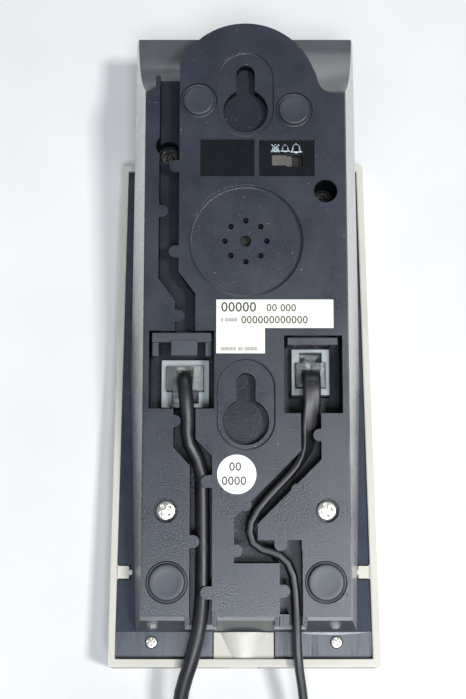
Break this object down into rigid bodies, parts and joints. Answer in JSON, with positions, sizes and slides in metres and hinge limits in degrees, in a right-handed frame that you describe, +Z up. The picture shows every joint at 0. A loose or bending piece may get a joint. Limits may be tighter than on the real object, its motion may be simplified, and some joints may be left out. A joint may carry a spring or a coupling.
{
  "type": "corded wall telephone",
  "caption": "Corded wall telephone seen from behind: moulded back plate with keyholes, cord channels and jacks, flared tub, and a handset resting on the front.",
  "frame": {"origin": "midway between the two keyholes, in the plane of the back plate's rear face", "axes": "+Z up as hung on a wall, -Y out to the front (the handset side), +Y out of the back plate towards the wall, +X to the left of a viewer who looks at the back"},
  "size_m": [0.1465, 0.0367, 0.2626],
  "materials": {
    "dark_plastic": "fine spark-eroded grain, charcoal with a blue cast",
    "grey_plastic": "light grey, smooth satin",
    "foot_rubber": "flat pads",
    "plated_screw": "bright plated pan heads with cross recess",
    "jack_plastic": "grey-green moulding",
    "contact_metal": "plated spring contacts",
    "clear_plastic": "clear polycarbonate",
    "cord_jacket": "black vinyl",
    "tie_plastic": "black nylon ties",
    "label_film": "off-white film",
    "black_plastic": "black moulding",
    "ringer_plastic": "dark buzzer case",
    "board_laminate": "green laminate",
    "ivory_plastic": "ivory, satin gloss",
    "liner_plastic": "charcoal inner shell, glossier than the plate",
    "mat_rubber": "translucent grey dome mat",
    "key_plastic": "pale grey keys"
  },
  "bodies": {
    "base": {"back_plate": "dark_plastic", "jack_clips": "dark_plastic", "base_tub": "grey_plastic", "rubber_feet": "foot_rubber", "plate_screws": "plated_screw", "deep_screws": "plated_screw", "line_jack": "jack_plastic", "handset_jack": "jack_plastic", "jack_contacts": "contact_metal", "line_plug": "clear_plastic", "handset_plug": "clear_plastic", "line_cord": "cord_jacket", "line_cord_coil": "cord_jacket", "line_end_plug": "clear_plastic", "handset_cord": "cord_jacket", "handset_cord_coil": "cord_jacket", "handset_end_plug": "clear_plastic", "cord_ties": "tie_plastic", "serial_label": "label_film", "inspection_sticker": "label_film", "switch_body": "black_plastic", "ringer": "ringer_plastic", "circuit_board": "board_laminate"},
    "handset": {"handset_shell": "ivory_plastic", "handset_liner": "liner_plastic", "socket_cover": "ivory_plastic", "shell_screws": "plated_screw", "earpiece": "black_plastic", "microphone": "contact_metal", "handset_board": "board_laminate", "keypad_mat": "mat_rubber", "handset_socket": "black_plastic"},
    "hook": {"hook_plunger": "grey_plastic"},
    "slider": {"volume_slider": "black_plastic"},
    "key_star": {"key_star": "key_plastic"},
    "key_0": {"key_0": "key_plastic"},
    "key_hash": {"key_hash": "key_plastic"},
    "key_7": {"key_7": "key_plastic"},
    "key_8": {"key_8": "key_plastic"},
    "key_9": {"key_9": "key_plastic"},
    "key_4": {"key_4": "key_plastic"},
    "key_5": {"key_5": "key_plastic"},
    "key_6": {"key_6": "key_plastic"},
    "key_1": {"key_1": "key_plastic"},
    "key_2": {"key_2": "key_plastic"},
    "key_3": {"key_3": "key_plastic"},
    "key_flash": {"key_flash": "key_plastic"},
    "key_redial": {"key_redial": "key_plastic"},
    "key_mute": {"key_mute": "key_plastic"}
  },
  "joints": [
    {"name": "handset_lift", "type": "slide", "parent": "base", "child": "handset", "axis": [0, -1, 0], "range_m": [0, 0.04]},
    {"name": "hook_switch", "type": "slide", "parent": "base", "child": "hook", "axis": [0, -1, 0], "range_m": [0, 0.004]},
    {"name": "ringer_volume", "type": "slide", "parent": "base", "child": "slider", "axis": [-1, 0, 0], "range_m": [0, 0.004]},
    {"name": "press_star", "type": "slide", "parent": "handset", "child": "key_star", "axis": [0, -0.9866, -0.1633], "range_m": [0, 0.001], "stiffness_N_per_m": 500},
    {"name": "press_0", "type": "slide", "parent": "handset", "child": "key_0", "axis": [0, -0.9866, -0.1633], "range_m": [0, 0.001], "stiffness_N_per_m": 500},
    {"name": "press_hash", "type": "slide", "parent": "handset", "child": "key_hash", "axis": [0, -0.9866, -0.1633], "range_m": [0, 0.001], "stiffness_N_per_m": 500},
    {"name": "press_7", "type": "slide", "parent": "handset", "child": "key_7", "axis": [0, -0.9866, -0.1633], "range_m": [0, 0.001], "stiffness_N_per_m": 500},
    {"name": "press_8", "type": "slide", "parent": "handset", "child": "key_8", "axis": [0, -0.9866, -0.1633], "range_m": [0, 0.001], "stiffness_N_per_m": 500},
    {"name": "press_9", "type": "slide", "parent": "handset", "child": "key_9", "axis": [0, -0.9866, -0.1633], "range_m": [0, 0.001], "stiffness_N_per_m": 500},
    {"name": "press_4", "type": "slide", "parent": "handset", "child": "key_4", "axis": [0, -0.9866, -0.1633], "range_m": [0, 0.001], "stiffness_N_per_m": 500},
    {"name": "press_5", "type": "slide", "parent": "handset", "child": "key_5", "axis": [0, -0.9866, -0.1633], "range_m": [0, 0.001], "stiffness_N_per_m": 500},
    {"name": "press_6", "type": "slide", "parent": "handset", "child": "key_6", "axis": [0, -0.9866, -0.1633], "range_m": [0, 0.001], "stiffness_N_per_m": 500},
    {"name": "press_1", "type": "slide", "parent": "handset", "child": "key_1", "axis": [0, -0.9866, -0.1633], "range_m": [0, 0.001], "stiffness_N_per_m": 500},
    {"name": "press_2", "type": "slide", "parent": "handset", "child": "key_2", "axis": [0, -0.9866, -0.1633], "range_m": [0, 0.001], "stiffness_N_per_m": 500},
    {"name": "press_3", "type": "slide", "parent": "handset", "child": "key_3", "axis": [0, -0.9866, -0.1633], "range_m": [0, 0.001], "stiffness_N_per_m": 500},
    {"name": "press_flash", "type": "slide", "parent": "handset", "child": "key_flash", "axis": [0, -0.9866, -0.1633], "range_m": [0, 0.001], "stiffness_N_per_m": 500},
    {"name": "press_redial", "type": "slide", "parent": "handset", "child": "key_redial", "axis": [0, -0.9866, -0.1633], "range_m": [0, 0.001], "stiffness_N_per_m": 500},
    {"name": "press_mute", "type": "slide", "parent": "handset", "child": "key_mute", "axis": [0, -0.9866, -0.1633], "range_m": [0, 0.001], "stiffness_N_per_m": 500}
  ],
  "couplings": [
    {"joint": "hook_switch", "follows": "handset_lift", "ratio": 0.1}
  ]
}
